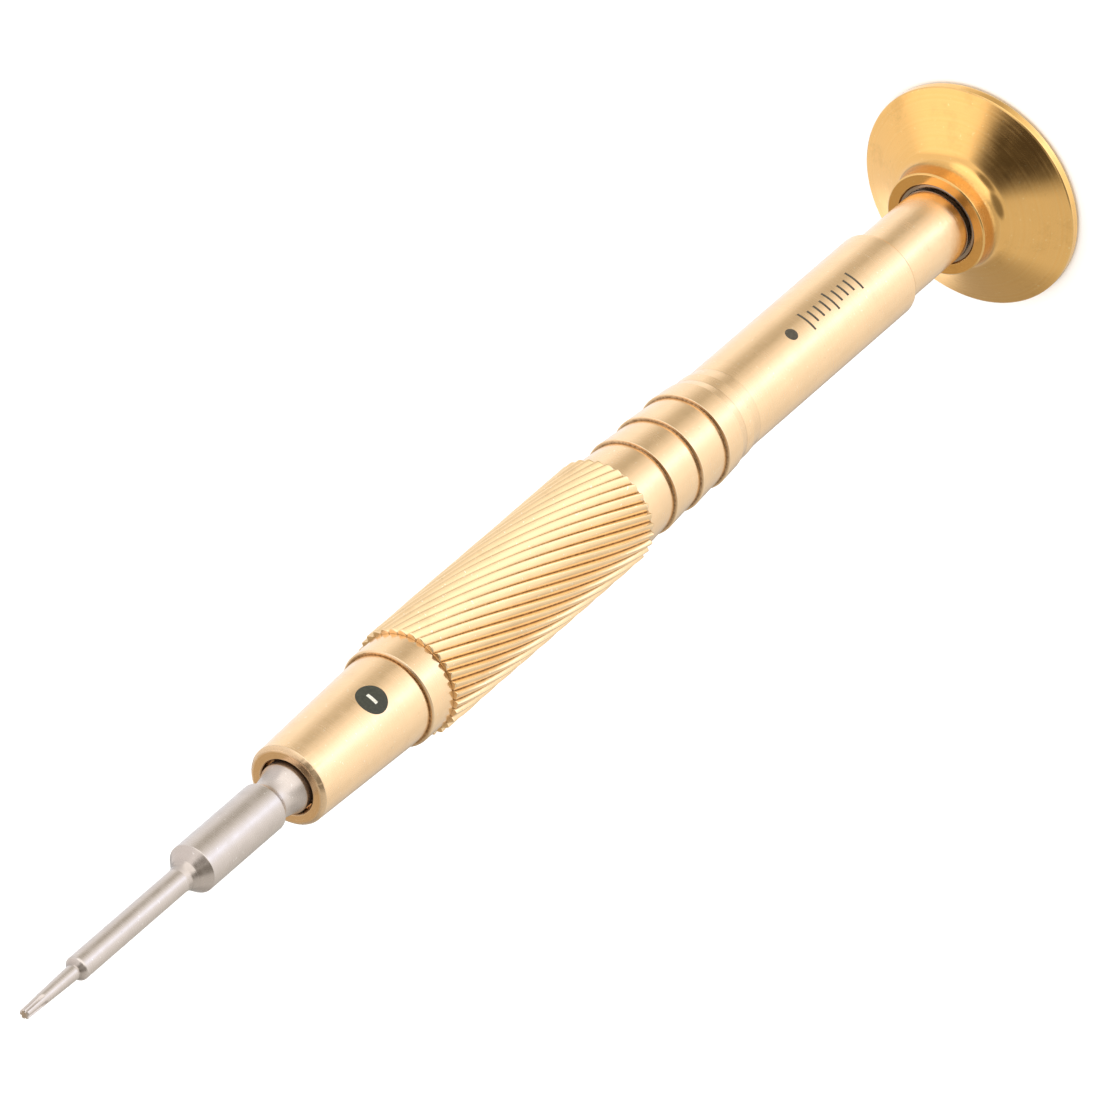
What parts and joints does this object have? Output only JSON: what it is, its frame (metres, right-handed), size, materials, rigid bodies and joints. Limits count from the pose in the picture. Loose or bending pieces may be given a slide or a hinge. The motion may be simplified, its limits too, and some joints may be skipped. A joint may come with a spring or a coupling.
{
  "type": "watchmaker screwdriver",
  "caption": "Slim brass precision screwdriver with a helically fluted grip, ringed barrel, spinning trumpet-shaped finger cap and a lift-out lobed blade",
  "frame": {"origin": "centre of the cap's rest face", "axes": "+Z along the handle towards the driving tip; X and Y square to it"},
  "size_m": [0.019, 0.019, 0.1283],
  "materials": {
    "satin_steel": "satin nickel-plated tool steel, turned",
    "turned_brass": "pale brass, fine turned satin",
    "polished_brass": "deeper brass, polished",
    "bearing_steel": "ground and polished bearing steel",
    "magnet_nickel": "nickel-plated magnet",
    "pressed_steel": "thin pressed steel"
  },
  "bodies": {
    "handle": {"nose_cone": "turned_brass", "blade_magnet": "magnet_nickel", "grip_core": "turned_brass", "grip_sleeve": "turned_brass", "ringed_barrel": "turned_brass", "spindle": "turned_brass", "race_spacer_ring": "turned_brass", "bearing_inner_race": "bearing_steel", "screw_washer": "pressed_steel", "cap_screw": "satin_steel"},
    "cap": {"spinning_cap": "polished_brass", "cap_cover_disc": "polished_brass", "bearing_outer_race": "bearing_steel", "bearing_shield_front": "pressed_steel", "bearing_shield_rear": "pressed_steel", "shield_snap_wires": "pressed_steel"},
    "ball_set": {"bearing_balls": "bearing_steel", "bearing_cage": "turned_brass"},
    "blade": {"blade": "satin_steel"}
  },
  "joints": [
    {"name": "cap_spin", "type": "hinge", "parent": "handle", "child": "cap", "pos_m": [0, 0, 0.00433], "axis": [0, 0, 1], "continuous": true},
    {"name": "ball_set_spin", "type": "hinge", "parent": "handle", "child": "ball_set", "pos_m": [0, 0, 0.00433], "axis": [0, 0, 1], "continuous": true},
    {"name": "blade_pull", "type": "slide", "parent": "handle", "child": "blade", "axis": [0, 0, 1], "range_m": [0, 0.02]}
  ],
  "couplings": [
    {"joint": "ball_set_spin", "follows": "cap_spin", "ratio": 0.62}
  ]
}
